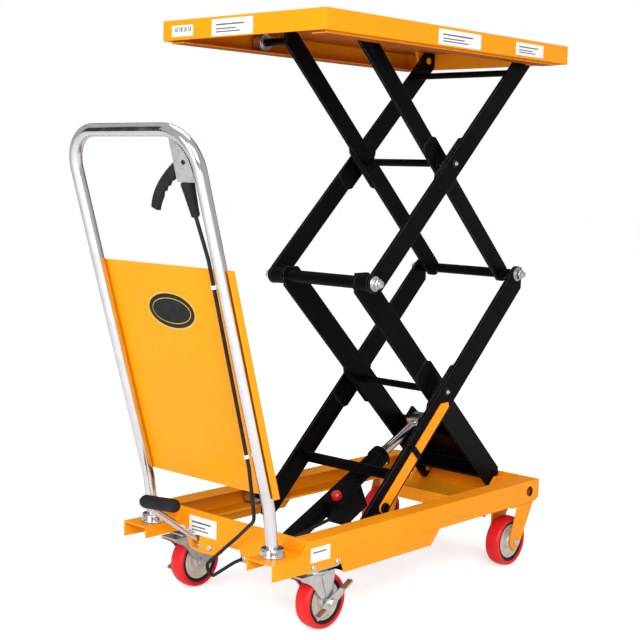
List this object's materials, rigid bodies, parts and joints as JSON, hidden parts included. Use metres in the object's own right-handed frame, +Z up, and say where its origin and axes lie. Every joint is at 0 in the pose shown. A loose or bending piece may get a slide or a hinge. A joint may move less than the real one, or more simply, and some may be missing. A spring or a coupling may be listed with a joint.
{
  "type": "scissor lift table",
  "caption": "Wheeled two-stage scissor lift table with an amber platform, black lifting arms, a pump pedal and a chromed push handle.",
  "frame": {"origin": "on the floor, under the centre of the whole table's bounding box", "axes": "+X points from the push handle towards the front wheels, +Y to the table's left when pushed, +Z up"},
  "size_m": [1.2235, 0.5, 1.32],
  "materials": {
    "amber_paint": "gloss amber powder coat",
    "black_paint": "semi-gloss black powder coat",
    "chrome": "bright chrome plate",
    "zinc": "bright zinc plate, slightly worn",
    "red_tyre": "smooth red polyurethane",
    "pale_hub": "pale zinc-yellow hub",
    "black_rubber": "matt black rubber and plastic",
    "red_plastic": "red plastic cap"
  },
  "bodies": {
    "base": {"base_channel_near": "amber_paint", "base_channel_far": "amber_paint", "rear_corner_near": "amber_paint", "rear_corner_far": "amber_paint", "rear_cross_plate": "amber_paint", "front_cross_member": "amber_paint", "front_fork_near": "amber_paint", "front_fork_far": "amber_paint", "cylinder_mount": "black_paint", "push_handle": "chrome", "handle_panel": "amber_paint", "lever_bracket": "zinc", "release_cable": "black_rubber", "caster_plate_near": "zinc", "caster_plate_far": "zinc"},
    "lower_inner": {"lower_inner_arm_near": "black_paint", "lower_inner_arm_far": "black_paint", "torsion_plate": "black_paint", "lower_cross_shaft": "black_paint", "mid_rear_tube": "black_paint"},
    "lower_outer": {"lower_outer_arm_near": "black_paint", "lower_outer_arm_far": "black_paint", "lower_tie_bar": "black_paint"},
    "upper_outer": {"upper_outer_arm_near": "black_paint", "upper_outer_arm_far": "black_paint", "upper_tie_bar": "black_paint"},
    "upper_inner": {"upper_inner_arm_near": "black_paint", "upper_inner_arm_far": "black_paint", "upper_cross_shaft": "black_paint", "mid_front_rod": "black_paint"},
    "platform": {"platform_deck": "amber_paint", "platform_rail_near": "amber_paint", "platform_rail_far": "amber_paint", "platform_lug_near": "amber_paint", "platform_lug_far": "amber_paint"},
    "cylinder": {"cylinder_barrel": "black_paint", "pump_block": "black_paint", "filler_cap": "red_plastic"},
    "rod": {"cylinder_rod": "chrome"},
    "prop": {"safety_prop": "amber_paint"},
    "pedal": {"pedal_bar": "chrome", "pedal_grip": "black_rubber"},
    "hand_lever": {"release_lever": "black_rubber"},
    "lower_roller_near": {"lower_roller_near": "zinc"},
    "upper_roller_near": {"upper_roller_near": "zinc"},
    "front_wheel_near": {"tyre_front_near": "red_tyre", "hub_front_near": "pale_hub"},
    "rear_wheel_near": {"tyre_rear_near": "red_tyre", "hub_rear_near": "pale_hub"},
    "caster_near": {"caster_fork_near": "zinc"},
    "brake_near": {"brake_rocker_near": "zinc"},
    "lower_roller_far": {"lower_roller_far": "zinc"},
    "upper_roller_far": {"upper_roller_far": "zinc"},
    "front_wheel_far": {"tyre_front_far": "red_tyre", "hub_front_far": "pale_hub"},
    "rear_wheel_far": {"tyre_rear_far": "red_tyre", "hub_rear_far": "pale_hub"},
    "caster_far": {"caster_fork_far": "zinc"},
    "brake_far": {"brake_rocker_far": "zinc"}
  },
  "joints": [
    {"name": "scissor_lift", "type": "hinge", "parent": "base", "child": "lower_inner", "pos_m": [0.56, 0, 0.187], "axis": [0, -1, 0], "range_deg": [0, 38.7]},
    {"name": "lower_cross", "type": "hinge", "parent": "lower_inner", "child": "lower_outer", "pos_m": [0.27503, 0, 0.46412], "axis": [0, -1, 0], "range_deg": [-77.5, 0]},
    {"name": "mid_rear", "type": "hinge", "parent": "lower_inner", "child": "upper_outer", "pos_m": [-0.00994, 0, 0.74125], "axis": [0, -1, 0], "range_deg": [-77.5, 0]},
    {"name": "upper_cross", "type": "hinge", "parent": "upper_outer", "child": "upper_inner", "pos_m": [0.27503, 0, 1.01837], "axis": [0, -1, 0], "range_deg": [0, 77.5]},
    {"name": "platform_pivot", "type": "hinge", "parent": "upper_outer", "child": "platform", "pos_m": [0.56, 0, 1.29549], "axis": [0, -1, 0], "range_deg": [0, 38.8]},
    {"name": "cylinder_tilt", "type": "hinge", "parent": "base", "child": "cylinder", "pos_m": [-0.133, 0, 0.118], "axis": [0, -1, 0], "range_deg": [-13.73, 0]},
    {"name": "rod_slide", "type": "slide", "parent": "cylinder", "child": "rod", "axis": [0.9024, 0, 0.431], "range_m": [-0.1164, 0]},
    {"name": "prop_swing", "type": "hinge", "parent": "lower_outer", "child": "prop", "pos_m": [0.04208, -0.1635, 0.21527], "axis": [0, 1, 0], "range_deg": [0, 40]},
    {"name": "lower_roller_spin_near", "type": "hinge", "parent": "lower_outer", "child": "lower_roller_near", "pos_m": [-0.00994, -0.214, 0.187], "axis": [0, 1, 0], "continuous": true},
    {"name": "upper_roller_spin_near", "type": "hinge", "parent": "upper_inner", "child": "upper_roller_near", "pos_m": [-0.00994, -0.214, 1.29549], "axis": [0, 1, 0], "continuous": true},
    {"name": "front_wheel_spin_near", "type": "hinge", "parent": "base", "child": "front_wheel_near", "pos_m": [0.484, -0.208, 0.0635], "axis": [0, 1, 0], "continuous": true},
    {"name": "caster_swivel_near", "type": "hinge", "parent": "base", "child": "caster_near", "pos_m": [-0.242, -0.203, 0.13], "axis": [0, 0, 1], "continuous": true},
    {"name": "rear_wheel_spin_near", "type": "hinge", "parent": "caster_near", "child": "rear_wheel_near", "pos_m": [-0.214, -0.203, 0.0635], "axis": [0, 1, 0], "continuous": true},
    {"name": "brake_tilt_near", "type": "hinge", "parent": "caster_near", "child": "brake_near", "pos_m": [-0.214, -0.235, 0.0635], "axis": [0, 1, 0], "range_deg": [-8, 8]},
    {"name": "lower_roller_spin_far", "type": "hinge", "parent": "lower_outer", "child": "lower_roller_far", "pos_m": [-0.00994, 0.214, 0.187], "axis": [0, 1, 0], "continuous": true},
    {"name": "upper_roller_spin_far", "type": "hinge", "parent": "upper_inner", "child": "upper_roller_far", "pos_m": [-0.00994, 0.214, 1.29549], "axis": [0, 1, 0], "continuous": true},
    {"name": "front_wheel_spin_far", "type": "hinge", "parent": "base", "child": "front_wheel_far", "pos_m": [0.484, 0.208, 0.0635], "axis": [0, 1, 0], "continuous": true},
    {"name": "caster_swivel_far", "type": "hinge", "parent": "base", "child": "caster_far", "pos_m": [-0.242, 0.203, 0.13], "axis": [0, 0, 1], "continuous": true},
    {"name": "rear_wheel_spin_far", "type": "hinge", "parent": "caster_far", "child": "rear_wheel_far", "pos_m": [-0.214, 0.203, 0.0635], "axis": [0, 1, 0], "continuous": true},
    {"name": "brake_tilt_far", "type": "hinge", "parent": "caster_far", "child": "brake_far", "pos_m": [-0.214, 0.235, 0.0635], "axis": [0, 1, 0], "range_deg": [-8, 8]},
    {"name": "pedal_stroke", "type": "hinge", "parent": "base", "child": "pedal", "pos_m": [-0.268, 0.113, 0.134], "axis": [0, -1, 0], "range_deg": [0, 30], "stiffness_Nm_per_rad": 4, "springref_deg": -28.65},
    {"name": "lever_squeeze", "type": "hinge", "parent": "base", "child": "hand_lever", "pos_m": [-0.5802, -0.158, 1.003], "axis": [0.9587, 0, 0.2844], "range_deg": [0, 22], "stiffness_Nm_per_rad": 1.5, "springref_deg": -22.92}
  ],
  "couplings": [
    {"joint": "lower_cross", "follows": "scissor_lift", "ratio": -2},
    {"joint": "mid_rear", "follows": "scissor_lift", "ratio": -2},
    {"joint": "upper_cross", "follows": "scissor_lift", "ratio": 2},
    {"joint": "platform_pivot", "follows": "scissor_lift", "ratio": 1},
    {"joint": "cylinder_tilt", "follows": "scissor_lift", "ratio": -0.35224},
    {"joint": "rod_slide", "follows": "scissor_lift", "m_per_rad": -0.1716}
  ]
}
